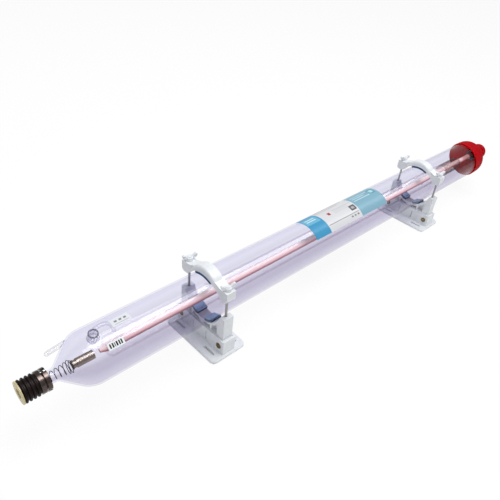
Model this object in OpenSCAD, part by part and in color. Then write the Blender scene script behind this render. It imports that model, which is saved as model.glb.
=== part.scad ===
// CO2 laser tube, sealed glass type, held in two clamp brackets.
// Millimetres. +X runs along the tube from the output head to the high
// voltage end, +Z is up. The origin is under the middle of the tube, in the
// plane that both bracket bases stand on.

/* [Glass tube] */
// Length over everything, from output face to cap tip
tube_length = 1220; // [1000:1:1600]
// Outer diameter of the gas envelope
tube_d = 80; // [78:1:82]
// Wall of the gas envelope
glass_wall = 2.4; // [1.8:0.1:2.6]
// Outer diameter of the neck at each end
neck_d = 19; // [18.4:0.2:19]
// Outer diameter of the water jacket round the discharge tube
jacket_d = 32; // [28:1:34]
// Outer diameter of the discharge tube
discharge_d = 12; // [10:0.5:12]

/* [Output head] */
// Diameter of the cooling ribs
head_d = 32; // [30:0.5:34]
// Number of cooling ribs
rib_count = 4; // [3:1:4]
// Distance from rib to rib
rib_pitch = 5.2; // [4.6:0.1:5.4]

/* [End cap] */
// Outer diameter of the rubber cap at its mouth
cap_d = 85; // [84:0.5:88]
// Distance from the middle of the cap's slanting mouth to its tip
cap_length = 91; // [88:1:94]
// Diameter of the cap's nose
nose_d = 40; // [36:0.5:41]

/* [Brackets] */
// Distance from the output face to the middle of the front bracket
front_bracket_x = 297; // [200:1:400]
// Distance between the middles of the two brackets
bracket_pitch = 614; // [500:1:700]
// Height of the tube's axis over the mounting surface
axis_height = 86; // [84:1:90]
// Width of the base plate along the tube
plate_w = 70; // [66:1:80]
// Length of the base plate across the tube
plate_l = 124; // [122:1:140]
// Thickness of the base plate
plate_t = 5; // [4:0.5:6]
// Distance between the two slots of one row, across the tube
slot_spacing = 74; // [60:1:76]
// Distance between the two rows of slots, along the tube
slot_rows = 46; // [44:1:52]
// Length of a slot
slot_l = 24; // [14:1:26]
// Width of a slot
slot_w = 5; // [4:0.1:6]
// Distance from clamp screw to clamp screw
screw_spacing = 90.6; // [90:0.2:92]
// Thread diameter of the clamp screws
screw_d = 4; // [3:0.5:4]

/* [Hidden] */
fine = 96;
tube_r = tube_d / 2;
neck_r = neck_d / 2;
jacket_r = jacket_d / 2;
discharge_r = discharge_d / 2;

// Gas envelope: where its ends start to curve, and the curves' sizes
front_neck_x = 33;
front_shoulder_x = 96;
front_shoulder_r = 38;
front_cone_angle = 41;
rear_shoulder_x = tube_length - 80;
rear_shoulder_r = 22;
rear_cone_angle = 60;
neck_fillet_r = 6;
rear_neck_l = 12;

// Water jacket and discharge tube
jacket_x0 = 118;
jacket_x1 = tube_length - 208;
jacket_wall = 1.5;
jacket_end_r = 8;
discharge_x0 = 110;
discharge_x1 = tube_length - 60;
discharge_wall = 1.8;
discharge_tip_l = 10;
discharge_tip_r = 3;

// Gas return coil
coil_x0 = tube_length - 199;
coil_x1 = tube_length - 127;
coil_turns = 8;
coil_wire_r = 1.9;
coil_sides = 8;
coil_steps = 16;
coil_r = 12.5;
coil_leg_turn = 0.6;

// Electrodes
cathode_r = 6.5;
cathode_wall = 0.5;
cathode_x0 = 70;
cathode_x1 = 100.5;
collar_r = 5.6;
collar_l = 5.8;
spring_wire_r = 0.5;
spring_sides = 6;
spring_steps = 18;
// Spring's path as [turns, distance along the axis, radius]
spring_path = [
  [0, 34.2, 6.45], [1.9, 46, 6.45], [2.9, 52.3, 7.1], [4.2, 60.4, 7.6], [5, 64.6, 9],
  [6, 67.8, 9.2], [6.7, 69.6, 6.6], [6.95, 70.3, 6.08], [7.5, 71.8, 6.08]
];
spring_phase = -130;
anode_wall = 0.75;
anode_l = 30;

// Water ports; angles run round the axis from +Y towards +Z
port_r = 7;
port_bore_r = 5.2;
port_end_rho = 51;
port_lip = 0.9;
port_base_r = 8.3;
port_base_rho = 40.6;
port_wall_rho = 42.2;
front_port_x = 99;
front_port_angle = 103;
rear_port_x = tube_length - 233;
rear_port_angle = 310;
pipe_r = 2.8;
pipe_bore_r = 1.9;
pipe_sides = 12;
pipe_seat = 0.15;
// Front pipe's route as [distance along the axis, radius off it, angle]
front_pipe_route = [
  [99.2, 34, 102], [100, 32, 96], [102.5, 32, 86], [107, 33, 76], [113, 33.6, 70.5],
  [121, 33.7, 69], [129, 32.6, 68], [135, 28, 67], [137, 21, 67]
];

// Filling stub, sealed off on the front cone
stub_r = 3.2;
stub_bore_r = 1.7;
stub_l = 25.5;
stub_root = [71, 21.5, 21.5];
stub_lean = 100;

// Output head, distances from the output face
rib_r = head_d / 2;
rib_crest_r = 1.5;
groove_r = rib_r - 2.4;
rib_x0 = 4.4;
ring_t = 1.6;
ring_r = 15.9;
aperture_r = 7;
window_r = 9;
window_t = 3;
cooler_x1 = 23.8;
cooler_bore_r = 6.5;
flange_x1 = 29.4;
gap_x1 = 31.6;
mount_x1 = 37;
mount_r = 16;
flange_r = 15.7;
gap_r = 11.2;
mount_bore_r = 5;
adjuster_circle_r = 13.2;
adjuster_angles = [82, 202, 322];
adjuster_r = 1.25;
adjuster_head_r = 2.3;
adjuster_head_l = 3.2;
adjuster_pocket_r = 2.9;
adjuster_web = 2;
adjuster_grip = 4;

// Rear mirror mount, distances from the end of the rear neck
rear_mount_r = 13.5;
rear_socket_l = 9;
rear_web_t = 2;
rear_gap_w = 2.2;
rear_block_l = 15;
rear_mirror_r = 10;
rear_mirror_t = 4;
rear_ring_t = 2;
rear_circle_r = 11.3;
rear_gap_r = 10.4;
rear_screw_r = 1;
rear_head_r = 1.7;
rear_head_l = 2;

// End cap
cap_r = cap_d / 2;
nose_r = nose_d / 2;
cap_wall = 2.2;
cap_x0 = tube_length - cap_length;
mouth_tilt = 20;
mouth_turn = 135;
mouth_reach = 20;
cap_bend_x = tube_length - 72;
cap_bend_r = 17;
cap_taper = 0.9;
nose_x0 = cap_bend_x + cap_bend_r + 4;
nose_end_r = 5.5;
nose_rib_r = 1.4;
nose_ribs = [17, 31];

// Labels lie on the glass, as [start, end, first angle, last angle]
label_t = 0.25;
main_label_at = [520, 737, 57, 140];
code_label_at = [109, 132.5, 126, 140];
small_label_at = [129, 157, 83, 103];

// Bracket, heights measured from the tube's axis
clamp_w = 20.5;
clamp_edge_r = 5;
ear_w = 17.4;
ear_y1 = 53.5;
ear_z0 = 20;
ear_z1 = 39.5;
ear_corner_r = 6;
crown_z = 55.5;
crown_r = 35;
crown_half_w = 24;
clamp_foot_y = 38;
pad_t = 3.6;
clamp_pad_w = 21.7;
clamp_pad_arc = 50;
cradle_pad_t = 4.5;
cradle_pad_w = 21;
cradle_pad_angles = [[-77, -53], [-124, -101]];
clamp_in_r = tube_r + pad_t;
saddle_r = tube_r + cradle_pad_t;
saddle_band = 5;
post_w = 19.4;
post_y0 = 39;
post_y1 = 53;
post_corner_r = 1.2;
post_top_z = -13;
skirt_clearance = 0.3;
skirt_wall = 2.5;
skirt_w = 19.4;
housing_wall = 3;
housing_w = skirt_w + 2 * (housing_wall + skirt_clearance);
housing_l = 117;
skirt_l = housing_l - 2 * (housing_wall + skirt_clearance);
rim_z = -54;
plate_top_z = plate_t - axis_height;
skirt_z0 = plate_top_z + 1.5;
skirt_z1 = rim_z - 1;
window_web = 3.4;
window_floor_z = -53;
inner_window = [5, 21];
outer_window = [25, 37.5];
plate_corner_r = 9;
plate_bevel = 1.5;
insert_corner_r = 5.4;
insert_y = 47.5;
insert_z = -67.5;
insert_proud = 1.2;
lock_screw_r = 2;
lock_screw_l = 3.6;
slit_y = 16;
slit_z0 = -77;
slit_z1 = -60;
slit_w = 1.4;
arrow_w = 4;
arrow_h = 3;
screw_r = screw_d / 2;
screw_play = 0.4;
thread_play = 0.05;
clamp_insert_r = 3.5;
clamp_insert_z0 = -30;
clamp_insert_z1 = -22;
screw_z0 = -34;
wing_gap = 0.3;
wing_z0 = ear_z1 + wing_gap;
hub_r = 5.8;
hub_h = 5.5;
boss_r = 3.4;
boss_h = 7;
wing_reach = 12.4;
wing_h = 10.4;
wing_t = 4.4;
wing_turn = -12;

// ---------- helpers ----------

// Moves what is drawn from the output face and the tube's axis into place
module on_axis() { translate([-tube_length / 2, 0, axis_height]) children(); }

// Moves what is drawn from a bracket's middle and the tube's axis into place
module at_bracket(x) { on_axis() translate([x, 0, 0]) children(); }

// Turns an outline of [radius, distance along the axis] round the tube's axis
module turned(outline) {
  rotate([0, 90, 0]) rotate_extrude($fn = fine) polygon(outline);
}

// Part of a ring round the axis; angles run from +Y towards +Z
module sector(r0, r1, x0, x1, a0, a1) {
  rotate([0, 90, 0]) rotate([0, 0, a0 + 90])
    rotate_extrude(angle = a1 - a0, $fn = fine)
      translate([r0, x0]) square([r1 - r0, x1 - x0]);
}

module label(at) { sector(tube_r, tube_r + label_t, at[0], at[1], at[2], at[3]); }

// Rod parallel to the axis, at a radius and angle off it
module parallel_rod(r, x0, x1, rho, a) {
  translate([x0, rho * cos(a), rho * sin(a)]) rotate([0, 90, 0])
    cylinder(r = r, h = x1 - x0, $fn = 32);
}

// Turns +Z into the direction that points away from the axis at angle a
module outward(x, a) { translate([x, 0, 0]) rotate([a - 90, 0, 0]) children(); }

// Flat outline in Y and Z, extruded along X about its middle
module across(w) {
  rotate([90, 0, 90]) translate([0, 0, -w / 2]) linear_extrude(w) children();
}

module both_sides() {
  children();
  mirror([0, 1, 0]) children();
}

module rounded_rect(w, l, r) {
  square([w - 2 * r, l], center = true);
  square([w, l - 2 * r], center = true);
  for (x = [-1, 1], y = [-1, 1])
    translate([x * (w / 2 - r), y * (l / 2 - r)]) circle(r = r, $fn = 48);
}

function arc(cx, cy, r, a0, a1, n) =
  [for (i = [0 : n]) let (a = a0 + (a1 - a0) * i / n) [cx + r * cos(a), cy + r * sin(a)]];

function reversed(v) = [for (i = [len(v) - 1 : -1 : 0]) v[i]];

// One end of the envelope as [radius, x], from the cylinder down to the neck.
// The cone leans by angle a; inset moves the outline inwards by the wall.
function end_outline(shoulder_x, dir, a, shoulder_r, inset) =
  let (
    cone_drop = tube_r - neck_r - (shoulder_r + neck_fillet_r) * (1 - cos(a)),
    neck_x = (shoulder_r + neck_fillet_r) * sin(a) + cone_drop / tan(a)
  )
  concat(
    [for (p = arc(0, 0, shoulder_r - inset, 0, a, 8))
      [tube_r - shoulder_r + p.x, shoulder_x + dir * p.y]],
    [for (p = arc(0, 0, neck_fillet_r + inset, a, 0, 4))
      [neck_r + neck_fillet_r - p.x, shoulder_x + dir * (neck_x - p.y)]]
  );

rear_fillet_x = max([for (p = end_outline(rear_shoulder_x, 1, rear_cone_angle, rear_shoulder_r, 0))
  p.y]);
rear_neck_x = rear_fillet_x + rear_neck_l;

function envelope_outline(inset) = concat(
  [[neck_r - inset, front_neck_x]],
  reversed(end_outline(front_shoulder_x, -1, front_cone_angle, front_shoulder_r, inset)),
  end_outline(rear_shoulder_x, 1, rear_cone_angle, rear_shoulder_r, inset),
  [[neck_r - inset, rear_neck_x]]
);

// The envelope filled solid, to trim what is fused to its outside
module envelope_solid() {
  turned(concat([[0, front_neck_x]], envelope_outline(0), [[0, rear_neck_x]]));
}

function unit(v) = v / norm(v);
function polar(x, rho, a) = [x, rho * cos(a), rho * sin(a)];

// Skin of a round rod swept along points p; side_on is never along the path
function ring_points(p, r, sides, side_on) = [
  for (i = [0 : len(p) - 1])
    let (
      t = unit(p[min(i + 1, len(p) - 1)] - p[max(i - 1, 0)]),
      n = unit(side_on[i] - (side_on[i] * t) * t),
      b = cross(t, n)
    )
    for (j = [0 : sides - 1])
      p[i] + r * (cos(360 * j / sides) * n + sin(360 * j / sides) * b)
];

function skin_faces(rings, sides) = concat(
  [[for (j = [sides - 1 : -1 : 0]) j]],
  [for (i = [0 : rings - 2], j = [0 : sides - 1])
    let (k = (j + 1) % sides) [i * sides + j, i * sides + k, (i + 1) * sides + k]],
  [for (i = [0 : rings - 2], j = [0 : sides - 1])
    let (k = (j + 1) % sides) [i * sides + j, (i + 1) * sides + k, (i + 1) * sides + j]],
  [[for (j = [0 : sides - 1]) (rings - 1) * sides + j]]
);

module swept(p, r, sides, side_on) {
  polyhedron(
    ring_points(p, r, sides, side_on),
    [for (f = skin_faces(len(p), sides)) reversed(f)],
    convexity = 10
  );
}

// Wire wound about the axis, from a path of [x, radius, angle]
module wound(path, r, sides) {
  swept(
    [for (q = path) polar(q.x, q.y, q.z)], r, sides,
    [for (q = path) polar(0, 1, q.z)]
  );
}

// Smooth curve through points, with n steps from each to the next
function smooth(p, n) = [
  for (i = [0 : len(p) - 2])
    let (a = p[max(i - 1, 0)], b = p[i], c = p[i + 1], d = p[min(i + 2, len(p) - 1)])
      for (s = [0 : n - 1 + (i == len(p) - 2 ? 1 : 0)])
        let (t = s / n)
          b + 0.5 * t * ((c - a) + t * ((2 * a - 5 * b + 4 * c - d) + t * (3 * (b - c) + d - a)))
];

// ---------- glass ----------

module gas_envelope() {
  color([0.88, 0.88, 0.96, 0.35]) on_axis() difference() {
    turned(concat(envelope_outline(0), reversed(envelope_outline(glass_wall))));
    outward(front_port_x, front_port_angle) cylinder(r = pipe_bore_r, h = tube_r + 2, $fn = 48);
    outward(rear_port_x, rear_port_angle) cylinder(r = pipe_bore_r, h = tube_r + 2, $fn = 48);
    at_fill_stub() translate([0, 0, -8]) cylinder(r = stub_bore_r, h = 16, $fn = 48);
  }
}

module at_fill_stub() { translate(stub_root) rotate([0, -stub_lean, 0]) children(); }

module gas_fill_stub() {
  color([0.88, 0.88, 0.96, 0.5]) on_axis() difference() {
    at_fill_stub() difference() {
      union() {
        translate([0, 0, -4]) cylinder(r = stub_r, h = stub_l - stub_r + 4, $fn = 48);
        translate([0, 0, stub_l - stub_r]) sphere(r = stub_r, $fn = 48);
      }
      translate([0, 0, -5]) cylinder(r = stub_bore_r, h = stub_l + 1, $fn = 48);
    }
    envelope_solid();
  }
}

// Half of the jacket's outline as [radius, x]: a shoulder that closes on the
// discharge tube at x, with the rest of the jacket lying in direction dir
function jacket_end(x, dir, inset) = concat(
  [[discharge_r, x + dir * inset]],
  [for (p = arc(0, 0, jacket_end_r - inset, 0, 90, 6))
    [jacket_r - jacket_end_r + p.y, x + dir * (jacket_end_r - p.x)]]
);

module water_jacket() {
  color([0.9, 0.92, 0.98, 0.35]) on_axis() difference() {
    turned(concat(
      jacket_end(jacket_x0, 1, 0), reversed(jacket_end(jacket_x1, -1, 0)),
      jacket_end(jacket_x1, -1, jacket_wall), reversed(jacket_end(jacket_x0, 1, jacket_wall))
    ));
    translate(polar(front_pipe_route[len(front_pipe_route) - 1].x, 0, 0))
      rotate([front_pipe_route[len(front_pipe_route) - 1].z - 90, 0, 0])
        cylinder(r = pipe_bore_r, h = jacket_r + 2, $fn = 32);
    outward(rear_port_x, rear_port_angle) cylinder(r = pipe_bore_r, h = jacket_r + 2, $fn = 32);
  }
}

module discharge_tube() {
  bore = discharge_r - discharge_wall;
  color([0.95, 0.78, 0.78, 0.8]) on_axis() turned([
    [discharge_tip_r - 0.8, discharge_x0], [discharge_tip_r, discharge_x0],
    [discharge_r, discharge_x0 + discharge_tip_l], [discharge_r, discharge_x1],
    [bore, discharge_x1], [bore, discharge_x0 + discharge_tip_l]
  ]);
}

module gas_return_coil() {
  steps = coil_turns * coil_steps;
  leg_steps = coil_leg_turn * coil_steps;
  leg_angle = 360 / coil_steps;
  path = concat(
    [for (i = [0 : steps])
      [coil_x0 + (coil_x1 - coil_x0) * i / steps, coil_r, 360 * coil_turns * i / steps]],
    [for (i = [1 : leg_steps])
      let (s = i / leg_steps)
        [coil_x1 + 5 * s, coil_r + (discharge_r - coil_r) * s * s, leg_angle * i]]
  );
  color([0.92, 0.9, 0.96, 0.6]) on_axis() wound(path, coil_wire_r, coil_sides);
}

// Port outside the envelope, with a fused foot and a fire-polished lip
module water_port(x, a) {
  middle = (port_r + port_bore_r) / 2;
  color([0.88, 0.88, 0.96, 0.5]) on_axis() difference() {
    outward(x, a) rotate_extrude($fn = 64) polygon(concat(
      [[port_bore_r, tube_r - 4], [port_base_r, tube_r - 4], [port_base_r, port_base_rho],
       [port_r, port_wall_rho]],
      arc(middle, port_end_rho - port_lip, port_lip, 0, 180, 8)
    ));
    envelope_solid();
  }
}

// Front pipe, from the port round the inside of the envelope to the jacket
module front_water_pipe() {
  last = front_pipe_route[len(front_pipe_route) - 1];
  route = smooth(concat(
    [[front_port_x, tube_r - glass_wall - pipe_seat, front_port_angle]],
    front_pipe_route,
    [[last.x, jacket_r - pipe_seat, last.z]]
  ), 3);
  points = [for (q = route) polar(q.x, q.y, q.z)];
  side_on = [for (q = points) [0.25, 0.6, -0.75]];
  color([0.88, 0.88, 0.96, 0.5]) on_axis() difference() {
    swept(points, pipe_r, pipe_sides, side_on);
    swept(points, pipe_bore_r, pipe_sides, side_on);
  }
}

module rear_water_pipe() {
  color([0.88, 0.88, 0.96, 0.5]) on_axis() outward(rear_port_x, rear_port_angle)
    translate([0, 0, jacket_r - pipe_seat]) difference() {
      h = tube_r - glass_wall - jacket_r;
      cylinder(r = pipe_r, h = h, $fn = 48);
      translate([0, 0, -1]) cylinder(r = pipe_bore_r, h = h + 2, $fn = 48);
    }
}

// ---------- electrodes ----------

// Thin tube whose narrower collar takes the end of the spring
module cathode() {
  step_x = cathode_x0 + collar_l;
  color("silver") on_axis() turned([
    [collar_r - cathode_wall, cathode_x0], [collar_r, cathode_x0], [collar_r, step_x],
    [cathode_r, step_x], [cathode_r, cathode_x1], [cathode_r - cathode_wall, cathode_x1],
    [cathode_r - cathode_wall, step_x + cathode_wall],
    [collar_r - cathode_wall, step_x + cathode_wall]
  ]);
}

module cathode_spring() {
  x_at = [for (q = spring_path) [q.x, q.y]];
  r_at = [for (q = spring_path) [q.x, q.z]];
  steps = round(spring_path[len(spring_path) - 1].x * spring_steps);
  path = [for (i = [0 : steps])
    let (turn = i / spring_steps)
      [lookup(turn, x_at), lookup(turn, r_at), 360 * turn + spring_phase]];
  color("darkgray") on_axis() wound(path, spring_wire_r, spring_sides);
}

module anode() {
  x1 = rear_neck_x;
  color("silver") on_axis() turned([
    [discharge_r, x1 - anode_l], [discharge_r + anode_wall, x1 - anode_l],
    [discharge_r + anode_wall, x1], [discharge_r, x1]
  ]);
}

// ---------- output head ----------

// Face ring with the beam's aperture
module output_ring() {
  color("tan") on_axis() turned([
    [aperture_r, 0], [ring_r - 0.4, 0], [ring_r, 0.4], [ring_r, ring_t], [aperture_r, ring_t]
  ]);
}

module output_window() {
  color("goldenrod") on_axis() turned([
    [0, ring_t], [window_r, ring_t], [window_r, ring_t + window_t], [0, ring_t + window_t]
  ]);
}

// Ribbed body that carries the window and sheds its heat
module output_cooler() {
  ribs = [for (i = [0 : rib_count - 1]) rib_x0 + i * rib_pitch];
  crest = rib_r - rib_crest_r;
  color([0.08, 0.06, 0.06]) on_axis() turned(concat(
    [[window_r, ring_t], [groove_r, ring_t]],
    [for (x = ribs) for (q = concat([[groove_r, x - rib_crest_r]],
      [for (p = arc(0, 0, rib_crest_r, 180, 0, 8)) [crest + p.y, x + p.x]],
      [[groove_r, x + rib_crest_r]])) q],
    [[groove_r, cooler_x1], [cooler_bore_r, cooler_x1],
     [cooler_bore_r, ring_t + window_t], [window_r, ring_t + window_t]]
  ));
}

// Mirror mount: a flange and a socket joined by a thin neck that bends
module output_mount() {
  color([0.55, 0.5, 0.46]) on_axis() difference() {
    turned([
      [mount_bore_r, cooler_x1], [flange_r - 0.4, cooler_x1], [flange_r, cooler_x1 + 0.4],
      [flange_r, flange_x1], [gap_r, flange_x1], [gap_r, gap_x1], [mount_r, gap_x1],
      [mount_r, mount_x1 - 0.5], [mount_r - 0.5, mount_x1], [neck_r, mount_x1],
      [neck_r, front_neck_x], [mount_bore_r, front_neck_x]
    ]);
    for (a = adjuster_angles) {
      parallel_rod(adjuster_r, flange_x1 - adjuster_grip, mount_x1, adjuster_circle_r, a);
      translate([gap_x1 + adjuster_web, 0, 0]) rotate([90, 0, 90]) linear_extrude(mount_x1)
        rotate(a) translate([adjuster_circle_r, 0]) {
          circle(r = adjuster_pocket_r, $fn = 32);
          translate([0, -adjuster_pocket_r]) square([mount_r, 2 * adjuster_pocket_r]);
        }
    }
  }
}

module output_adjusting_screws() {
  head_x = gap_x1 + adjuster_web;
  color("silver") on_axis() for (a = adjuster_angles) difference() {
    union() {
      parallel_rod(adjuster_r, flange_x1 - adjuster_grip, head_x, adjuster_circle_r, a);
      parallel_rod(adjuster_head_r, head_x, head_x + adjuster_head_l, adjuster_circle_r, a);
    }
    translate([head_x + adjuster_head_l / 2, adjuster_circle_r * cos(a),
               adjuster_circle_r * sin(a)])
      rotate([0, 90, 0]) cylinder(r = adjuster_head_r / 2, h = adjuster_head_l, $fn = 6);
  }
}

// ---------- high voltage end ----------

rear_web_x1 = rear_neck_x + rear_web_t;
rear_gap_x1 = rear_web_x1 + rear_gap_w;
rear_block_x1 = rear_gap_x1 + rear_block_l;

module rear_mirror_mount() {
  mirror_x = rear_block_x1 - rear_mirror_t;
  color([0.5, 0.5, 0.52]) on_axis() difference() {
    turned([
      [mount_bore_r, rear_neck_x], [neck_r, rear_neck_x],
      [neck_r, rear_neck_x - rear_socket_l], [rear_mount_r, rear_neck_x - rear_socket_l],
      [rear_mount_r, rear_web_x1], [rear_gap_r, rear_web_x1], [rear_gap_r, rear_gap_x1],
      [rear_mount_r, rear_gap_x1], [rear_mount_r, rear_block_x1],
      [rear_mirror_r, rear_block_x1], [rear_mirror_r, mirror_x], [mount_bore_r, mirror_x]
    ]);
    for (a = adjuster_angles) {
      parallel_rod(rear_screw_r, rear_neck_x - rear_socket_l, rear_gap_x1 + 5,
        rear_circle_r, a);
      parallel_rod(rear_head_r, rear_neck_x - rear_socket_l - 1, rear_neck_x - 2,
        rear_circle_r, a);
    }
  }
}

module rear_adjusting_screws() {
  color("silver") on_axis() for (a = adjuster_angles) {
    parallel_rod(rear_screw_r, rear_neck_x - 2, rear_gap_x1 + 5, rear_circle_r, a);
    parallel_rod(rear_head_r, rear_neck_x - 2 - rear_head_l, rear_neck_x - 2,
      rear_circle_r, a);
  }
}

module rear_mirror() {
  color("lightgray") on_axis() turned([
    [0, rear_block_x1 - rear_mirror_t], [rear_mirror_r, rear_block_x1 - rear_mirror_t],
    [rear_mirror_r, rear_block_x1], [0, rear_block_x1]
  ]);
}

module rear_mirror_ring() {
  color("dimgray") on_axis() turned([
    [cooler_bore_r, rear_block_x1], [rear_mount_r, rear_block_x1],
    [rear_mount_r, rear_block_x1 + rear_ring_t], [cooler_bore_r, rear_block_x1 + rear_ring_t]
  ]);
}

// Outline of the cap as [radius, x], from beyond its mouth to its tip
function cap_outline(inset) = concat(
  [[cap_r - inset, cap_x0 - mouth_reach], [cap_r - cap_taper - inset, cap_bend_x]],
  [for (p = arc(0, 0, cap_bend_r - inset, 0, 80, 10))
    [cap_r - cap_taper - cap_bend_r + p.x, cap_bend_x + p.y]],
  [[nose_r + 0.5 - inset, nose_x0 - inset],
   [nose_r - inset, nose_x0 + 6 - inset]],
  [for (p = arc(0, 0, nose_end_r - inset, 0, 90, 6))
    [nose_r - 1 - nose_end_r + p.x, tube_length - nose_end_r + p.y]],
  [[0, tube_length - inset]]
);

// Rubber cap, pulled askew over the end of the glass
module end_cap() {
  start_x = cap_x0 - mouth_reach;
  color([0.78, 0.04, 0.12]) on_axis() difference() {
    union() {
      turned(concat([[0, start_x]], cap_outline(0)));
      for (x = nose_ribs) translate([nose_x0 + x, 0, 0]) rotate([0, 90, 0])
        rotate_extrude($fn = fine) translate([nose_r - 0.6, 0])
          circle(r = nose_rib_r, $fn = 24);
    }
    turned(concat(
      [[0, start_x - 1], [tube_r, start_x - 1], [tube_r, rear_shoulder_x + 2]],
      [for (p = cap_outline(cap_wall)) if (p.y > rear_shoulder_x + 2) p]
    ));
    translate([cap_x0, 0, 0]) rotate([mouth_turn, 0, 0]) rotate([0, 0, mouth_tilt])
      translate([-60, -60, -60]) cube([60, 120, 120]);
  }
}

// ---------- labels ----------

module main_label() { color([0.75, 0.88, 0.93]) on_axis() label(main_label_at); }

module code_label() { color("white") on_axis() label(code_label_at); }

module small_label() { color("white") on_axis() label(small_label_at); }

// ---------- bracket ----------

module slot() {
  for (y = [-1, 1]) translate([0, y * (slot_l - slot_w) / 2])
    circle(d = slot_w, $fn = 32);
  square([slot_w, slot_l - slot_w], center = true);
}

// Narrow sight slit with an arrow head at its lower end
module slit() {
  translate([-slit_w / 2, slit_z0 + arrow_h]) square([slit_w, slit_z1 - slit_z0 - arrow_h]);
  polygon([[0, slit_z0], [arrow_w / 2, slit_z0 + arrow_h], [-arrow_w / 2, slit_z0 + arrow_h]]);
}

module hex_insert(x0, x1) {
  translate([x0, 0, insert_z]) rotate([0, 90, 0])
    cylinder(r = insert_corner_r, h = x1 - x0, $fn = 6);
}

// Base plate with the housing in which the cradle slides up and down
module base() {
  color([0.9, 0.92, 0.95]) difference() {
    union() {
      translate([0, 0, -axis_height]) linear_extrude(plate_t - plate_bevel)
        rounded_rect(plate_w, plate_l, plate_corner_r);
      translate([0, 0, plate_top_z - plate_bevel]) hull()
        for (x = [-1, 1], y = [-1, 1])
          translate([x * (plate_w / 2 - plate_corner_r), y * (plate_l / 2 - plate_corner_r), 0])
            cylinder(r1 = plate_corner_r, r2 = plate_corner_r - plate_bevel, h = plate_bevel,
              $fn = 32);
      translate([0, 0, -axis_height]) linear_extrude(axis_height + rim_z)
        rounded_rect(housing_w, housing_l, 2);
    }
    translate([0, 0, plate_top_z]) linear_extrude(axis_height)
      rounded_rect(housing_w - 2 * housing_wall, housing_l - 2 * housing_wall, 1);
    for (x = [-1, 1], y = [-1, 1])
      translate([x * slot_rows / 2, y * slot_spacing / 2, -axis_height - 1])
        linear_extrude(plate_t + 2) slot();
    for (y = [-1, 1]) {
      translate([0, y * insert_y, 0]) hex_insert(-housing_w / 2 - 1, 0);
      translate([-housing_w / 2, y * slit_y, 0]) across(2 * housing_wall + 1) slit();
    }
  }
}

module lock_inserts() {
  x0 = -housing_w / 2 - insert_proud;
  x1 = -housing_w / 2 + housing_wall;
  color([0.72, 0.58, 0.3]) for (y = [-1, 1]) translate([0, y * insert_y, 0]) difference() {
    hex_insert(x0, x1);
    translate([x0 - 1, 0, insert_z]) rotate([0, 90, 0])
      cylinder(r = lock_screw_r, h = x1 - x0 + 2, $fn = 32);
  }
}

// Grub screws that press on the cradle's skirt and hold its height
module lock_screws() {
  color("dimgray") for (y = [-1, 1])
    translate([-skirt_w / 2 - lock_screw_l, y * insert_y, insert_z]) rotate([0, 90, 0])
      difference() {
        cylinder(r = lock_screw_r, h = lock_screw_l, $fn = 32);
        translate([0, 0, -1]) cylinder(r = lock_screw_r / 2, h = 2.4, $fn = 6);
      }
}

// Cradle: two posts and a saddle over a skirt that is open below
module cradle() {
  color([0.9, 0.92, 0.95]) difference() {
    union() {
      difference() {
        translate([0, 0, skirt_z1 - 1]) linear_extrude(post_top_z - skirt_z1 + 1)
          rounded_rect(post_w, 2 * post_y1, post_corner_r);
        across(post_w + 2) {
          circle(r = saddle_r, $fn = fine);
          translate([-post_y0, -sqrt(saddle_r * saddle_r - post_y0 * post_y0)])
            square([2 * post_y0, saddle_r]);
        }
      }
      translate([0, 0, skirt_z0]) linear_extrude(skirt_z1 - skirt_z0)
        rounded_rect(skirt_w, skirt_l, 1);
    }
    translate([0, 0, skirt_z0 - 1]) linear_extrude(skirt_z1 - skirt_z0 + 1 - skirt_wall)
      rounded_rect(skirt_w - 2 * skirt_wall, skirt_l - 2 * skirt_wall, 1);
    for (s = [-1, 1]) translate([s * (post_w + window_web + 2) / 4, 0, 0])
      across((post_w - window_web) / 2 + 1) both_windows();
    both_sides() translate([0, screw_spacing / 2, 0]) {
      translate([0, 0, clamp_insert_z1 - 1])
        cylinder(r = screw_r + screw_play, h = post_top_z - clamp_insert_z1 + 2, $fn = 32);
      translate([0, 0, skirt_z0])
        cylinder(r = clamp_insert_r, h = clamp_insert_z1 - skirt_z0, $fn = 32);
    }
  }
}

// Openings between the ribs under the saddle
module both_windows() {
  difference() {
    for (s = [-1, 1], w = [inner_window, outer_window])
      translate([s > 0 ? w[0] : -w[1], window_floor_z]) square([w[1] - w[0], 30]);
    circle(r = saddle_r + saddle_band, $fn = fine);
  }
}

module cradle_pads() {
  color([0.16, 0.36, 0.56]) for (a = cradle_pad_angles)
    sector(tube_r, saddle_r, -cradle_pad_w / 2, cradle_pad_w / 2, a[0], a[1]);
}

// Side view of the clamp: an arch with a flat ear at each end
module clamp_outline() {
  crown_cz = crown_z - crown_r;
  half = asin(crown_half_w / crown_r);
  difference() {
    union() {
      polygon(concat(
        [[ear_y1, ear_z0 + ear_corner_r], [ear_y1, ear_z1], [clamp_foot_y, ear_z1]],
        arc(0, crown_cz, crown_r - 1, 90 - half, 90 + half, 16),
        [[-clamp_foot_y, ear_z1], [-ear_y1, ear_z1], [-ear_y1, ear_z0 + ear_corner_r],
         [-ear_y1 + ear_corner_r, ear_z0], [ear_y1 - ear_corner_r, ear_z0]]
      ));
      for (y = [-1, 1]) translate([y * (ear_y1 - ear_corner_r), ear_z0 + ear_corner_r])
        circle(r = ear_corner_r, $fn = 48);
    }
    circle(r = clamp_in_r, $fn = fine);
  }
}

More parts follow.
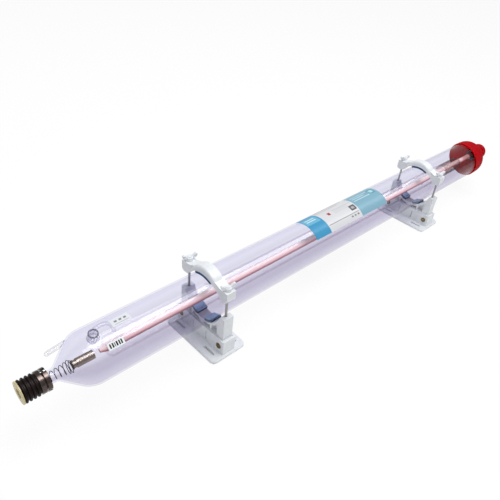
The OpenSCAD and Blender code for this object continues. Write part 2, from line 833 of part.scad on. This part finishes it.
// Clamp: the ears' outline, with a wider arch whose outer edges are rounded
module clamp() {
  flat = clamp_w / 2 - clamp_edge_r;
  color([0.92, 0.94, 0.97]) difference() {
    union() {
      across(ear_w) clamp_outline();
      difference() {
        translate([0, 0, crown_z - crown_r]) turned(concat(
          [[0, -clamp_w / 2]],
          [for (p = arc(0, 0, clamp_edge_r, 90, 0, 6))
            [crown_r - clamp_edge_r + p.x, -flat - p.y]],
          [for (p = arc(0, 0, clamp_edge_r, 0, 90, 6))
            [crown_r - clamp_edge_r + p.x, flat + p.y]],
          [[0, clamp_w / 2]]
        ));
        across(clamp_w + 2) circle(r = clamp_in_r, $fn = fine);
      }
    }
    for (y = [-1, 1]) translate([0, y * screw_spacing / 2, ear_z0 - 1])
      cylinder(r = screw_r + screw_play, h = ear_z1 - ear_z0 + 2, $fn = 32);
  }
}

module clamp_pad() {
  color([0.16, 0.36, 0.56])
    sector(tube_r, clamp_in_r, -clamp_pad_w / 2, clamp_pad_w / 2,
      90 - clamp_pad_arc / 2, 90 + clamp_pad_arc / 2);
}

// Threaded bushes that the clamp screws pull against, pressed in from below
module clamp_inserts() {
  h = clamp_insert_z1 - clamp_insert_z0;
  color([0.72, 0.58, 0.3]) both_sides() translate([0, screw_spacing / 2, clamp_insert_z0])
    difference() {
      cylinder(r = clamp_insert_r, h = h, $fn = 32);
      translate([0, 0, -1]) cylinder(r = screw_r + thread_play, h = h + 2, $fn = 32);
    }
}

// Threaded rod of a clamp screw; its upper end sits in the wing head
module clamp_screw(side) {
  color("silver") translate([0, side * screw_spacing / 2, screw_z0])
    cylinder(r = screw_r, h = wing_z0 + hub_h - screw_z0, $fn = 32);
}

// Side view of one wing, from the hub outwards
module wing_outline() {
  tip_r = 2.2;
  polygon(concat(
    [[0, 1.2], [hub_r, 1.6]],
    [[wing_reach - 1, hub_h - 0.5]],
    arc(wing_reach - tip_r, wing_h - tip_r, tip_r, 0, 130, 6),
    [[boss_r, hub_h + 0.6], [0, hub_h]]
  ));
}

module clamp_wing(side) {
  color([0.88, 0.9, 0.94]) translate([0, side * screw_spacing / 2, wing_z0])
    rotate([0, 0, wing_turn]) difference() {
      union() {
        cylinder(r = hub_r, h = hub_h, $fn = 48);
        cylinder(r = boss_r, h = boss_h, $fn = 48);
        for (s = [0, 180]) rotate([90, 0, s]) translate([0, 0, -wing_t / 2])
          linear_extrude(wing_t) wing_outline();
      }
      translate([0, 0, -1]) cylinder(r = screw_r, h = hub_h + 1, $fn = 32);
    }
}

front_x = front_bracket_x;
rear_x = front_bracket_x + bracket_pitch;

gas_envelope();
gas_fill_stub();
water_jacket();
discharge_tube();
gas_return_coil();
water_port(front_port_x, front_port_angle);  // front_water_port
front_water_pipe();
water_port(rear_port_x, rear_port_angle);  // rear_water_port
rear_water_pipe();
cathode();
cathode_spring();
anode();
output_mount();
output_adjusting_screws();
output_cooler();
output_window();
output_ring();
rear_mirror_mount();
rear_adjusting_screws();
rear_mirror();
rear_mirror_ring();
end_cap();
main_label();
code_label();
small_label();
at_bracket(front_x) base();  // front_base
at_bracket(front_x) cradle();  // front_cradle
at_bracket(front_x) cradle_pads();  // front_cradle_pads
at_bracket(front_x) clamp();  // front_clamp
at_bracket(front_x) clamp_pad();  // front_clamp_pad
at_bracket(front_x) lock_inserts();  // front_lock_inserts
at_bracket(front_x) lock_screws();  // front_lock_screws
at_bracket(front_x) clamp_inserts();  // front_clamp_inserts
at_bracket(front_x) clamp_screw(-1);  // front_near_screw
at_bracket(front_x) clamp_wing(-1);  // front_near_wing
at_bracket(front_x) clamp_screw(1);  // front_far_screw
at_bracket(front_x) clamp_wing(1);  // front_far_wing
at_bracket(rear_x) base();  // rear_base
at_bracket(rear_x) cradle();  // rear_cradle
at_bracket(rear_x) cradle_pads();  // rear_cradle_pads
at_bracket(rear_x) clamp();  // rear_clamp
at_bracket(rear_x) clamp_pad();  // rear_clamp_pad
at_bracket(rear_x) lock_inserts();  // rear_lock_inserts
at_bracket(rear_x) lock_screws();  // rear_lock_screws
at_bracket(rear_x) clamp_inserts();  // rear_clamp_inserts
at_bracket(rear_x) clamp_screw(-1);  // rear_near_screw
at_bracket(rear_x) clamp_wing(-1);  // rear_near_wing
at_bracket(rear_x) clamp_screw(1);  // rear_far_screw
at_bracket(rear_x) clamp_wing(1);  // rear_far_wing
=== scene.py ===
"""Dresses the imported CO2 laser tube: glass, metals, rubber, moulded plastic, labels, studio."""

import math

import bpy
from mathutils import Matrix, Vector


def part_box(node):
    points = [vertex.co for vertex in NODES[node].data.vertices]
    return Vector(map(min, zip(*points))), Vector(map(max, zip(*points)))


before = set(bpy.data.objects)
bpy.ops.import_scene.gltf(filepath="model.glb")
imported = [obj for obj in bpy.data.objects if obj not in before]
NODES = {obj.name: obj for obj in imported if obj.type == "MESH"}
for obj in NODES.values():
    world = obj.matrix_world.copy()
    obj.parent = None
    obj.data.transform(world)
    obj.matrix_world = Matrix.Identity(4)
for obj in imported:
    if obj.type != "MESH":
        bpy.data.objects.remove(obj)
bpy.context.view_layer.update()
MM = 0.001

# The tube's axis and its output face, read off the frame
envelope_low, envelope_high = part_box("gas_envelope")
AXIS_Y = (envelope_low[1] + envelope_high[1]) / 2
AXIS_Z = (envelope_low[2] + envelope_high[2]) / 2
FACE_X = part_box("output_ring")[0][0]

# Where the water ports' tint starts and ends, as distances from the tube's axis
PORT_FOOT = 0.040
PORT_TOP = 0.051

# ---------- camera ----------

CAMERA_AT = (-0.7122, -0.4498, 0.6185)
CAMERA_AIM = (-0.1797, 0.0435, 0.086)
CAMERA_ROLL = 6.306
CAMERA_LENS = 36.862
CAMERA_SENSOR = 36
CAMERA_NEAR = 0.01


def add_camera():
    data = bpy.data.cameras.new("camera")
    data.lens = CAMERA_LENS
    data.sensor_width = CAMERA_SENSOR
    data.clip_start = CAMERA_NEAR
    camera = bpy.data.objects.new("camera", data)
    bpy.context.collection.objects.link(camera)
    look = (Vector(CAMERA_AIM) - Vector(CAMERA_AT)).to_track_quat("-Z", "Y").to_matrix()
    roll = Matrix.Rotation(math.radians(CAMERA_ROLL), 3, "Z")
    camera.matrix_world = Matrix.Translation(CAMERA_AT) @ (look @ roll).to_4x4()
    bpy.context.scene.camera = camera


# ---------- material helpers ----------

# Places of the Mix node's colour sockets, which share their names with its other types
MIX_FACTOR, MIX_FIRST, MIX_SECOND, MIX_COLOUR = 0, 6, 7, 2


class Shader:
    """A principled material and short calls that build its nodes."""

    def __init__(self, name, **inputs):
        self.material = bpy.data.materials.new(name)
        self.material.use_nodes = True
        self.tree = self.material.node_tree
        self.bsdf = self.tree.nodes["Principled BSDF"]
        for key, value in inputs.items():
            self.set(key.replace("_", " ").title().replace("Ior", "IOR"), value)

    def set(self, socket, value):
        """Sets a constant on one of the principled shader's own sockets."""
        if isinstance(value, tuple) and len(value) == 3:
            value = (*value, 1)
        self.bsdf.inputs[socket].default_value = value

    def node(self, kind, **settings):
        made = self.tree.nodes.new(kind)
        for key, value in settings.items():
            if key in made.inputs:
                made.inputs[key].default_value = value
            else:
                setattr(made, key, value)
        return made

    def link(self, source, target):
        self.tree.links.new(source, target)

    def noise(self, scale, detail, stretch=(1, 1, 1)):
        made = self.node("ShaderNodeTexNoise", Scale=scale, Detail=detail)
        place = self.node("ShaderNodeTexCoord")
        mapping = self.node("ShaderNodeMapping")
        mapping.inputs["Scale"].default_value = stretch
        self.link(place.outputs["Object"], mapping.inputs["Vector"])
        self.link(mapping.outputs["Vector"], made.inputs["Vector"])
        return made.outputs["Fac"]

    def ramp(self, factor, stops):
        """Colour ramp over factor, with each stop as (place, grey or colour)."""
        made = self.node("ShaderNodeValToRGB")
        elements = made.color_ramp.elements
        while len(elements) < len(stops):
            elements.new(0.5)
        for element, (place, colour) in zip(elements, stops):
            element.position = place
            element.color = (*colour, 1) if isinstance(colour, tuple) else (colour,) * 3 + (1,)
        self.link(factor, made.inputs["Fac"])
        return made.outputs["Color"]

    def bump(self, height, strength, distance):
        made = self.node("ShaderNodeBump", Strength=strength, Distance=distance)
        self.link(height, made.inputs["Height"])
        self.link(made.outputs["Normal"], self.bsdf.inputs["Normal"])

    def drive(self, socket, source):
        """Links a texture to one of the principled shader's sockets."""
        self.link(source, self.bsdf.inputs[socket])

    def around_axis(self):
        """Angle round the tube's axis as 0 to 1, from +Y over the top to -Y and under."""
        y, z = self.from_axis()
        turn = self.math("ARCTAN2", z, y)
        return self.math("FRACT", self.math("DIVIDE", turn, 2 * math.pi))

    def from_axis(self):
        """Offsets from the tube's axis along Y and Z."""
        return (self.math("SUBTRACT", self.along("Y"), AXIS_Y),
                self.math("SUBTRACT", self.along("Z"), AXIS_Z))

    def radius(self):
        """Distance from the tube's axis."""
        y, z = self.from_axis()
        return self.math("SQRT", self.math("MULTIPLY_ADD", y, y, self.math("MULTIPLY", z, z)))

    def outward(self):
        """1 where the surface's lit side points away from the tube's axis, -1 towards it."""
        y, z = self.from_axis()
        shape = self.node("ShaderNodeNewGeometry")
        normal = self.node("ShaderNodeSeparateXYZ")
        self.link(shape.outputs["Normal"], normal.inputs["Vector"])
        along = self.math("MULTIPLY_ADD", normal.outputs["Y"], y,
                          self.math("MULTIPLY", normal.outputs["Z"], z))
        return self.math("DIVIDE", along, self.radius())

    def edge_on(self):
        """0 where the surface is seen face on, growing to 1 where it turns edge on."""
        return self.node("ShaderNodeLayerWeight", Blend=0.5).outputs["Facing"]

    def along(self, axis):
        """Place along one axis of the frame."""
        place = self.node("ShaderNodeTexCoord")
        split = self.node("ShaderNodeSeparateXYZ")
        self.link(place.outputs["Object"], split.inputs["Vector"])
        return split.outputs[axis]

    def math(self, operation, *values):
        made = self.node("ShaderNodeMath", operation=operation)
        for socket, value in zip(made.inputs, values):
            if isinstance(value, (int, float)):
                socket.default_value = value
            else:
                self.link(value, socket)
        return made.outputs[0]

    def within(self, value, low, high):
        """1 where value lies between low and high, else 0."""
        return self.math("COMPARE", value, (low + high) / 2, (high - low) / 2)

    def blend(self, factor, first, second):
        """From the first colour at 0 to the second at 1."""
        made = self.node("ShaderNodeMix", data_type="RGBA")
        self.link(factor, made.inputs[MIX_FACTOR])
        for place, value in ((MIX_FIRST, first), (MIX_SECOND, second)):
            if isinstance(value, tuple):
                made.inputs[place].default_value = (*value, 1)
            else:
                self.link(value, made.inputs[place])
        return made.outputs[MIX_COLOUR]

    def show(self, shader):
        """Puts a shader other than the plain principled one on the surface."""
        self.link(shader, self.tree.nodes["Material Output"].inputs["Surface"])


def dress(material, *names):
    """Gives a material to the named CAD nodes."""
    for name in names:
        mesh = NODES[name].data
        mesh.materials.clear()
        mesh.materials.append(material)


def both(*names):
    """The named nodes of the front and the rear bracket."""
    return [f"{end}_{name}" for name in names for end in ("front", "rear")]


# ---------- materials ----------

GLASS_GLOSS = (0.95, 0.95, 0.98)
RIPPLE_SIZE = 11
RIPPLE_STRETCH = (0.2, 1, 1)
RIPPLE_DEPTH = 0.0008
EDGE_POWER = 5


def glass(name, tint_of, ripple=0.2, gloss=0.016, rim=0.5, outward_only=False):
    """Clear glass: a filter with the tint that tint_of builds, and a mirror gloss over it
    that grows from gloss, face on, to rim where the wall turns edge on. With outward_only
    the gloss is left off walls whose lit side faces the tube's axis."""
    shader = Shader(name, base_color=GLASS_GLOSS, metallic=1.0, roughness=0.03)
    shader.bump(shader.noise(RIPPLE_SIZE, 2, RIPPLE_STRETCH), ripple, RIPPLE_DEPTH)
    clear = shader.node("ShaderNodeBsdfTransparent")
    shader.link(tint_of(shader), clear.inputs["Color"])
    grazing = shader.math("POWER", shader.edge_on(), EDGE_POWER)
    shine = shader.math("MULTIPLY_ADD", grazing, rim - gloss, gloss)
    if outward_only:
        shine = shader.math("MULTIPLY", shine,
                            shader.math("GREATER_THAN", shader.outward(), 0.0))
    mix = shader.node("ShaderNodeMixShader")
    shader.link(shine, mix.inputs["Fac"])
    shader.link(clear.outputs["BSDF"], mix.inputs[1])
    shader.link(shader.bsdf.outputs["BSDF"], mix.inputs[2])
    shader.show(mix.outputs["Shader"])
    return shader.material


def edge_tint(face, middle, edge):
    """Tint that grows where the wall turns edge on, as it does in a thick glass wall."""
    def build(shader):
        return shader.ramp(shader.edge_on(), [(0.0, face), (0.55, middle), (0.95, edge)])
    return build


def envelope_tint_and_painted_shade(shader):
    """Lavender cast with painted light and shade round the axis: fainter over the top, with a
    denser streak of painted shade low on the front, and a thin grey line where the wall turns
    edge on."""
    # The ramp round the axis paints shade into the tint: lighter over the top, darker low on the
    # front and under
    cast = shader.ramp(shader.around_axis(), [
        (0.0, (0.925, 0.925, 0.970)), (0.11, (0.915, 0.912, 0.965)),
        (0.24, (0.945, 0.945, 0.978)), (0.28, (0.915, 0.915, 0.945)),
        (0.32, (0.950, 0.947, 0.975)), (0.385, (0.940, 0.935, 0.965)),
        (0.42, (0.810, 0.795, 0.845)), (0.46, (0.800, 0.785, 0.840)),
        (0.49, (0.845, 0.835, 0.882)), (0.54, (0.895, 0.885, 0.925)),
        (0.62, (0.895, 0.885, 0.930)), (0.75, (0.895, 0.885, 0.935)),
        (1.0, (0.925, 0.925, 0.970)),
    ])
    line = shader.ramp(shader.edge_on(), [(0.75, 1.0), (0.97, 0.86)])
    return shader.blend(line, (0, 0, 0), cast)


def port_tint(shader):
    """Clear wall with a dark ring at the foot and a darker one round the lip."""
    height = shader.math("DIVIDE", shader.math("SUBTRACT", shader.radius(), PORT_FOOT),
                         PORT_TOP - PORT_FOOT)
    return shader.ramp(height, [
        (0.0, (0.70, 0.69, 0.73)), (0.2, (0.94, 0.94, 0.965)), (0.80, (0.93, 0.93, 0.955)),
        (0.88, (0.40, 0.39, 0.42)), (1.0, (0.34, 0.33, 0.36)),
    ])


def discharge_glass():
    """Pink tube with painted light: a painted peach highlight over the top, a painted dark red
    reflection line low on each side, and a faint painted glow in the same colours.
    """
    shader = Shader("discharge_glass", roughness=0.12, ior=1.5)
    # Painted highlight and painted reflection: peach over the top, a dark red line low on each
    # side
    pink_with_painted_light = shader.ramp(shader.around_axis(), [
        (0.0, (0.45, 0.14, 0.15)), (0.10, (0.80, 0.55, 0.53)), (0.20, (0.98, 0.86, 0.81)),
        (0.33, (0.99, 0.79, 0.75)), (0.41, (0.95, 0.66, 0.65)), (0.47, (0.60, 0.28, 0.29)),
        (0.56, (0.24, 0.07, 0.08)), (0.70, (0.60, 0.30, 0.30)), (0.88, (0.60, 0.30, 0.30)),
        (1.0, (0.45, 0.14, 0.15)),
    ])
    shader.drive("Base Color", pink_with_painted_light)
    # Painted glow: the tube gives off its own pink light, though it is no lamp
    shader.drive("Emission Color", pink_with_painted_light)
    shader.set("Emission Strength", 0.2)
    shader.set("Alpha", 0.92)
    return shader.material


# Depth of the fine relief on metal, plastic and rubber
GRAIN_DEPTH = 0.0002
METAL_STREAKS = 60
RUBBER_BLOTCHES = 45
RUBBER_GRAIN = 1200


def bright_metal(name, colour, roughness):
    """Polished or drawn metal with faint streaks along the tube."""
    shader = Shader(name, metallic=1.0, roughness=roughness)
    grain = shader.noise(METAL_STREAKS, 4, (1, 12, 12))
    dark = tuple(0.72 * c for c in colour)
    shader.drive("Base Color", shader.ramp(grain, [(0.3, dark), (0.7, colour)]))
    shader.drive("Roughness", shader.ramp(grain, [
        (0.2, roughness * 0.8), (0.8, roughness * 1.5),
    ]))
    shader.bump(grain, 0.05, GRAIN_DEPTH)
    return shader.material


def black_metal():
    """Black satin finish with a brown cast."""
    shader = Shader("black_metal", roughness=0.45)
    shader.set("Specular IOR Level", 0.12)
    grain = shader.noise(40, 4, (8, 1, 1))
    shader.drive("Base Color", shader.ramp(grain, [
        (0.3, (0.005, 0.003, 0.003)), (0.75, (0.018, 0.008, 0.007)),
    ]))
    return shader.material


def moulded_plastic():
    """White moulded plastic, a little uneven."""
    shader = Shader("white_plastic", roughness=0.38)
    speckle = shader.noise(180, 4)
    shader.drive("Base Color", shader.ramp(speckle, [
        (0.3, (0.74, 0.77, 0.80)), (0.7, (0.80, 0.83, 0.86)),
    ]))
    shader.bump(shader.noise(900, 2), 0.12, GRAIN_DEPTH)
    return shader.material


# How squarely a pad's wall faces the tube's axis where it counts as the pad's face, which gets
# the painted lighter colour
PAD_FACE = 0.6


def blue_rubber(name, lit_face_colour):
    """Blue rubber with painted light: paler on the face that lies on the tube, darker on its
    other walls.
    """
    shader = Shader(name, roughness=0.5)
    shader.set("Specular IOR Level", 0.3)
    blotch = shader.noise(RUBBER_BLOTCHES, 4)
    deep = shader.ramp(blotch, [(0.3, (0.004, 0.035, 0.10)), (0.7, (0.008, 0.055, 0.14))])
    # Painted light: a lighter copy of the blue on the face, the darker one on the other walls
    painted_lit = shader.ramp(blotch, [(0.3, lit_face_colour), (0.7, tuple(1.25 * c for c in lit_face_colour))])
    face = shader.math("GREATER_THAN", shader.math("ABSOLUTE", shader.outward()), PAD_FACE)
    shader.drive("Base Color", shader.blend(face, deep, painted_lit))
    shader.bump(shader.noise(RUBBER_GRAIN, 3), 0.2, GRAIN_DEPTH)
    return shader.material


def cap_rubber():
    """Thin red rubber that glows where light comes through its wall."""
    shader = Shader("red_rubber", roughness=0.42)
    shader.set("Specular IOR Level", 0.08)
    blotch = shader.noise(RUBBER_BLOTCHES, 4)
    red = shader.ramp(blotch, [(0.3, (0.64, 0.0015, 0.009)), (0.7, (0.74, 0.003, 0.016))])
    shader.drive("Base Color", red)
    shader.bump(shader.noise(RUBBER_GRAIN, 3), 0.2, GRAIN_DEPTH)
    through = shader.node("ShaderNodeBsdfTranslucent")
    shader.link(red, through.inputs["Color"])
    mix = shader.node("ShaderNodeMixShader", Fac=0.6)
    shader.link(shader.bsdf.outputs["BSDF"], mix.inputs[1])
    shader.link(through.outputs["BSDF"], mix.inputs[2])
    shader.show(mix.outputs["Shader"])
    return shader.material


def painted(name, colour, roughness):
    """Even, opaque finish in one colour."""
    shader = Shader(name, roughness=roughness)
    blotch = shader.noise(120, 4)
    dark = tuple(0.9 * c for c in colour)
    shader.drive("Base Color", shader.ramp(blotch, [(0.3, dark), (0.7, colour)]))
    return shader.material


FULL_TURN = 360


def printed(name, film, patches):
    """Film with plain printed fields, each as (start, end, first angle, last angle, ink):
    mm from the output face, and degrees round the axis from +Y over the top."""
    shader = Shader(name, roughness=0.3)
    shader.set("Specular IOR Level", 0.15)
    x = shader.math("SUBTRACT", shader.along("X"), FACE_X)
    turn = shader.math("MULTIPLY", shader.around_axis(), FULL_TURN)
    colour = film
    for start, end, first, last, ink in patches:
        inside = shader.math("MULTIPLY", shader.within(x, start * MM, end * MM),
                             shader.within(turn, first, last))
        colour = shader.blend(inside, colour, ink)
    shader.drive("Base Color", colour)
    return shader.material


PALE_BAR = (0.62, 0.80, 0.88)
PALE_LINE = (0.62, 0.80, 0.86)
GREY_LINE = (0.45, 0.46, 0.48)
CODE_INK = (0.015, 0.015, 0.014)
DASH_INK = (0.22, 0.22, 0.23)

MAIN_FIELDS = [
    # deep blue end with its two bars
    (518, 561, 50, 145, (0.055, 0.30, 0.52)), (522, 557, 70, 97, (0.16, 0.44, 0.62)),
    (527, 551, 76, 79, PALE_BAR), (527, 551, 84, 87, PALE_BAR),
    # pale blue end with its lines and frame
    (655, 740, 50, 145, (0.22, 0.41, 0.52)), (662, 712, 74, 76, PALE_LINE),
    (662, 700, 82, 84, PALE_LINE), (662, 712, 90, 92, PALE_LINE),
    (716, 731, 72, 92, (0.05, 0.28, 0.36)), (718.5, 728.5, 75.5, 88.5, (0.42, 0.68, 0.76)),
    # lines, red mark and square on the white middle
    (598, 652, 84, 85.2, (0.36, 0.38, 0.40)), (598, 640, 90, 91, GREY_LINE),
    (598, 652, 96, 97, GREY_LINE), (581, 588, 86, 95, (0.38, 0.03, 0.04)),
    (636, 652, 97, 114, (0.10, 0.10, 0.11)), (640, 648, 101.5, 109.5, (0.40, 0.41, 0.43)),
    # grey band along the top, rule and three dashes along the bottom
    (563, 646, 50, 61, (0.36, 0.35, 0.37)), (563, 628, 66, 69, (0.42, 0.41, 0.43)),
    (563, 652, 120.5, 122.3, (0.24, 0.24, 0.25)), (626, 631, 126, 130.5, DASH_INK),
    (635, 640, 126, 130.5, DASH_INK), (644, 649, 126, 130.5, DASH_INK),
]
CODE_BARS = [(111.4, 113.5), (115.0, 117.2), (118.5, 119.6), (120.8, 123.2), (124.6, 126.6),
             (127.8, 129.8)]
CODE_FIELDS = [(start, end, 128.4, 137.4, CODE_INK) for start, end in CODE_BARS]
SMALL_FIELDS = [
    (134, 138, 90, 94.5, DASH_INK), (141, 145, 90, 94.5, DASH_INK),
    (148, 152, 90, 94.5, DASH_INK), (133, 154, 98.5, 99.8, (0.42, 0.42, 0.45)),
]


# ---------- stage ----------

STAGE_SIZE = 30
FLOOR_Z = -0.0005
FLOOR_COLOUR = (0.86, 0.86, 0.86)
GLOW_LEVEL = 1.02
GLOW_SHARE = 0.88
# Half the length of the patch under a base plate, and how far it stays inside the plate
PATCH_HALF = 0.033
PATCH_EDGE = 0.002
WORLD_LEVEL = 0.5
CLEAR_WALLS = 32


def add_floor():
    """White floor that keeps the object's shadow and shows white to the camera, through
    glass and in reflections."""
    bpy.ops.mesh.primitive_plane_add(size=STAGE_SIZE, location=(0, 0, FLOOR_Z))
    floor = bpy.context.object
    floor.name = "floor"
    shader = Shader("floor_white", base_color=FLOOR_COLOUR, roughness=0.9)
    shader.set("Specular IOR Level", 0.0)
    rays = shader.node("ShaderNodeLightPath")
    seen = shader.math("MAXIMUM", rays.outputs["Is Camera Ray"], rays.outputs["Is Glossy Ray"])
    seen = shader.math("MAXIMUM", seen, rays.outputs["Is Transmission Ray"])
    # Under the two base plates the floor keeps its plain shade, seen through their slots
    low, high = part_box("front_base")
    far_low, far_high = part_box("rear_base")
    middle = (low[0] + far_high[0]) / 2
    pitch = far_low[0] - low[0]
    from_middle = shader.math("ABSOLUTE", shader.math("SUBTRACT", shader.along("X"), middle))
    under = shader.math("MULTIPLY",
                        shader.within(from_middle, pitch / 2 - PATCH_HALF,
                                      pitch / 2 + PATCH_HALF),
                        shader.within(shader.along("Y"), low[1] + PATCH_EDGE,
                                      high[1] - PATCH_EDGE))
    seen = shader.math("MULTIPLY", seen, shader.math("SUBTRACT", 1.0, under))
    glow = shader.node("ShaderNodeEmission", Strength=GLOW_LEVEL)
    mix = shader.node("ShaderNodeMixShader")
    shader.link(shader.math("MULTIPLY", seen, GLOW_SHARE), mix.inputs["Fac"])
    shader.link(shader.bsdf.outputs["BSDF"], mix.inputs[1])
    shader.link(glow.outputs["Emission"], mix.inputs[2])
    shader.show(mix.outputs["Shader"])
    floor.data.materials.append(shader.material)


def add_world():
    """White surroundings, dimmer as light on the object than as background."""
    world = bpy.data.worlds.new("studio")
    bpy.context.scene.world = world
    world.use_nodes = True
    tree = world.node_tree
    sky = tree.nodes["Background"]
    rays = tree.nodes.new("ShaderNodeLightPath")
    seen = tree.nodes.new("ShaderNodeMath")
    seen.operation = "MAXIMUM"
    tree.links.new(rays.outputs["Is Camera Ray"], seen.inputs[0])
    tree.links.new(rays.outputs["Is Transmission Ray"], seen.inputs[1])
    level = tree.nodes.new("ShaderNodeMapRange")
    level.inputs["To Min"].default_value = WORLD_LEVEL
    level.inputs["To Max"].default_value = 1.0
    tree.links.new(seen.outputs[0], level.inputs["Value"])
    tree.links.new(level.outputs["Result"], sky.inputs["Strength"])
    sky.inputs["Color"].default_value = (1, 1, 1, 1)


def add_lamp(name, at, size, power, aim=None, gloss_only=False):
    """Rectangular lamp that faces down, or at aim. gloss_only keeps it to reflections."""
    data = bpy.data.lights.new(name, "AREA")
    data.shape = "RECTANGLE"
    data.size, data.size_y = size
    data.energy = power
    lamp = bpy.data.objects.new(name, data)
    lamp.location = at
    if aim:
        turn = (Vector(aim) - Vector(at)).to_track_quat("-Z", "Y")
        lamp.rotation_euler = turn.to_euler()
    bpy.context.collection.objects.link(lamp)
    lamp.visible_diffuse = not gloss_only


def add_studio():
    scene = bpy.context.scene
    scene.view_settings.view_transform = "Standard"
    scene.cycles.transparent_max_bounces = CLEAR_WALLS
    add_floor()
    add_world()
    add_lamp("key", (0.2, -0.25, 2.4), (1.6, 1.6), 42, aim=(0, 0, 0.1))
    # Draws the bright band along the top of the glass
    add_lamp("strip", (0.45, -0.34, 1.5), (3.6, 0.44), 31, gloss_only=True)


# ---------- pieces ----------

BRIGHT_METALS = [
    ("nickel", (0.36, 0.31, 0.25), 0.33, ["cathode", "anode"]),
    ("spring_wire", (0.10, 0.085, 0.085), 0.3, ["cathode_spring"]),
    ("mount_metal", (0.105, 0.082, 0.075), 0.2, ["output_mount", "rear_mirror_mount"]),
    ("steel", (0.38, 0.37, 0.37), 0.3, ["output_adjusting_screws", "rear_adjusting_screws",
                                        *both("near_screw", "far_screw")]),
    ("dark_steel", (0.66, 0.60, 0.46), 0.45, both("lock_screws")),
    ("brass", (0.20, 0.15, 0.075), 0.4, both("lock_inserts", "clamp_inserts")),
    ("mirror_face", (0.8, 0.8, 0.8), 0.05, ["rear_mirror"]),
]
LABELS = [
    ("main_print", (0.66, 0.665, 0.69), MAIN_FIELDS, "main_label"),
    ("code_print", (0.84, 0.88, 0.90), CODE_FIELDS, "code_label"),
    ("small_print", (0.73, 0.75, 0.80), SMALL_FIELDS, "small_label"),
]


def dress_glass():
    """Each tint grows from its first colour, face on, to its last where a wall is edge on."""
    jacket = edge_tint((0.992, 0.99, 0.994), (0.985, 0.98, 0.985), (0.86, 0.83, 0.86))
    stub = edge_tint((0.97, 0.97, 0.98), (0.90, 0.895, 0.92), (0.24, 0.23, 0.26))
    pipe = edge_tint((0.985, 0.985, 0.99), (0.95, 0.95, 0.965), (0.60, 0.58, 0.66))
    coil = edge_tint((0.90, 0.86, 0.85), (0.66, 0.60, 0.59), (0.22, 0.17, 0.17))
    dress(glass("envelope_glass", envelope_tint_and_painted_shade, outward_only=True), "gas_envelope")
    dress(glass("jacket_glass", jacket, 0.1, 0.015, 0.3), "water_jacket")
    dress(glass("clear_glass", stub, 0.02, 0.012, 0.25), "gas_fill_stub")
    dress(glass("port_glass", port_tint, 0.1), "front_water_port", "rear_water_port")
    dress(glass("pipe_glass", pipe, 0.1, 0.015, 0.3), "front_water_pipe", "rear_water_pipe")
    dress(glass("coil_glass", coil, 0.1), "gas_return_coil")
    dress(discharge_glass(), "discharge_tube")


def dress_rest():
    for name, colour, roughness, nodes in BRIGHT_METALS:
        dress(bright_metal(name, colour, roughness), *nodes)
    dress(black_metal(), "output_cooler", "rear_mirror_ring")
    dress(painted("tan_metal", (0.64, 0.55, 0.29), 0.4), "output_ring")
    dress(painted("window_crystal", (0.62, 0.53, 0.27), 0.2), "output_window")
    dress(cap_rubber(), "end_cap")
    # The second colour is each pad's face colour, painted lighter as if lit
    dress(blue_rubber("cradle_rubber", (0.36, 0.58, 0.74)), *both("cradle_pads"))
    dress(blue_rubber("clamp_rubber", (0.012, 0.075, 0.19)), *both("clamp_pad"))
    dress(moulded_plastic(), *both("base", "cradle", "clamp", "near_wing", "far_wing"))
    for name, film, fields, node in LABELS:
        dress(printed(name, film, fields), node)


add_camera()
dress_glass()
dress_rest()
add_studio()
